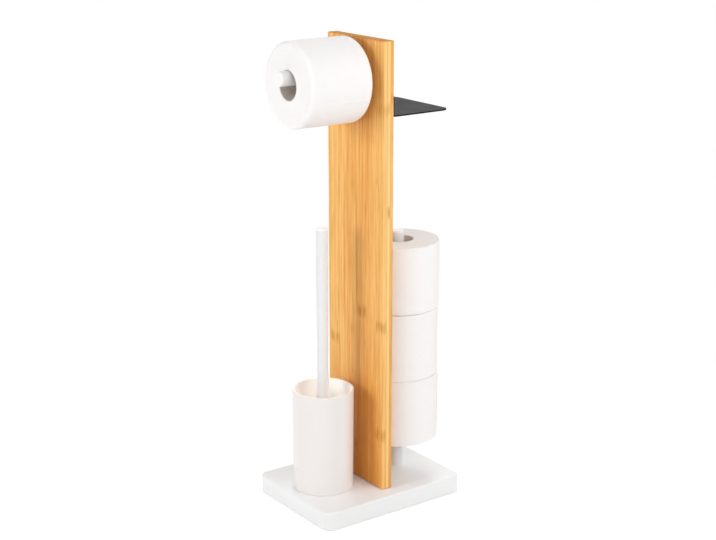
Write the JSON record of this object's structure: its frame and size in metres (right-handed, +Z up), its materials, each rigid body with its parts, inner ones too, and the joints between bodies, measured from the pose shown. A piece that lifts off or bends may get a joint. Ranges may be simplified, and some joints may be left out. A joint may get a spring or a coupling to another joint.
{
  "type": "toilet roll and brush stand",
  "caption": "Free-standing bathroom stand: a bamboo board on a white base with an arm for a paper roll, a rod of spare rolls, a small shelf and a brush in a cup",
  "frame": {"origin": "middle of the base on the floor, on the underside plane of the rubber feet", "axes": "+X runs from the brush side to the spare-roll side, +Y from front to back, +Z up"},
  "size_m": [0.2552, 0.174, 0.6553],
  "materials": {
    "white_lacquer": "satin",
    "foot_rubber": "matte",
    "bamboo": "satin",
    "dowel_wood": "matte",
    "zinc_steel": "satin",
    "white_steel": "satin",
    "white_plastic": "satin",
    "insert_nylon": "matte",
    "black_steel": "matte",
    "cup_plastic": "satin",
    "bristle_nylon": "matte",
    "tissue": "matte",
    "core_card": "matte"
  },
  "bodies": {
    "stand": {"base_plate": "white_lacquer", "base_feet": "foot_rubber", "upright_board": "bamboo", "board_dowels": "dowel_wood", "board_screws": "zinc_steel", "roll_arm": "white_steel", "roll_arm_insert": "insert_nylon", "roll_arm_cap": "white_plastic", "roll_arm_washer": "zinc_steel", "roll_arm_screw": "zinc_steel", "spare_rod": "white_steel", "spare_rod_insert": "insert_nylon", "spare_rod_cap": "white_plastic", "spare_rod_washer": "zinc_steel", "spare_rod_screw": "zinc_steel", "roll_rest": "white_plastic", "roll_rest_grub_screw": "zinc_steel", "shelf_tray": "black_steel", "shelf_tray_screws": "zinc_steel"},
    "brush_holder": {"brush_cup": "cup_plastic"},
    "brush": {"brush_handle": "white_steel", "brush_handle_insert": "insert_nylon", "brush_handle_cap": "white_plastic", "brush_stem": "white_plastic", "brush_bristles": "bristle_nylon"},
    "arm_roll": {"arm_roll_paper": "tissue", "arm_roll_core": "core_card"},
    "spare_roll_lower": {"spare_roll_lower_paper": "tissue", "spare_roll_lower_core": "core_card"},
    "spare_roll_middle": {"spare_roll_middle_paper": "tissue", "spare_roll_middle_core": "core_card"},
    "spare_roll_upper": {"spare_roll_upper_paper": "tissue", "spare_roll_upper_core": "core_card"}
  },
  "joints": [
    {"name": "arm_roll_spin", "type": "hinge", "parent": "stand", "child": "arm_roll", "pos_m": [-0.067, 0, 0.59755], "axis": [1, 0, 0], "continuous": true},
    {"name": "spare_roll_lower_lift", "type": "slide", "parent": "stand", "child": "spare_roll_lower", "axis": [0, 0, 1], "range_m": [0, 0.03]},
    {"name": "spare_roll_middle_lift", "type": "slide", "parent": "spare_roll_lower", "child": "spare_roll_middle", "axis": [0, 0, 1], "range_m": [0, 0.03]},
    {"name": "spare_roll_upper_lift", "type": "slide", "parent": "spare_roll_middle", "child": "spare_roll_upper", "axis": [0, 0, 1], "range_m": [0, 0.12]},
    {"name": "holder_pull", "type": "slide", "parent": "stand", "child": "brush_holder", "axis": [-1, 0, 0], "range_m": [0, 0.12]},
    {"name": "brush_lift", "type": "slide", "parent": "brush_holder", "child": "brush", "axis": [0, 0, 1], "range_m": [0, 0.137]}
  ]
}
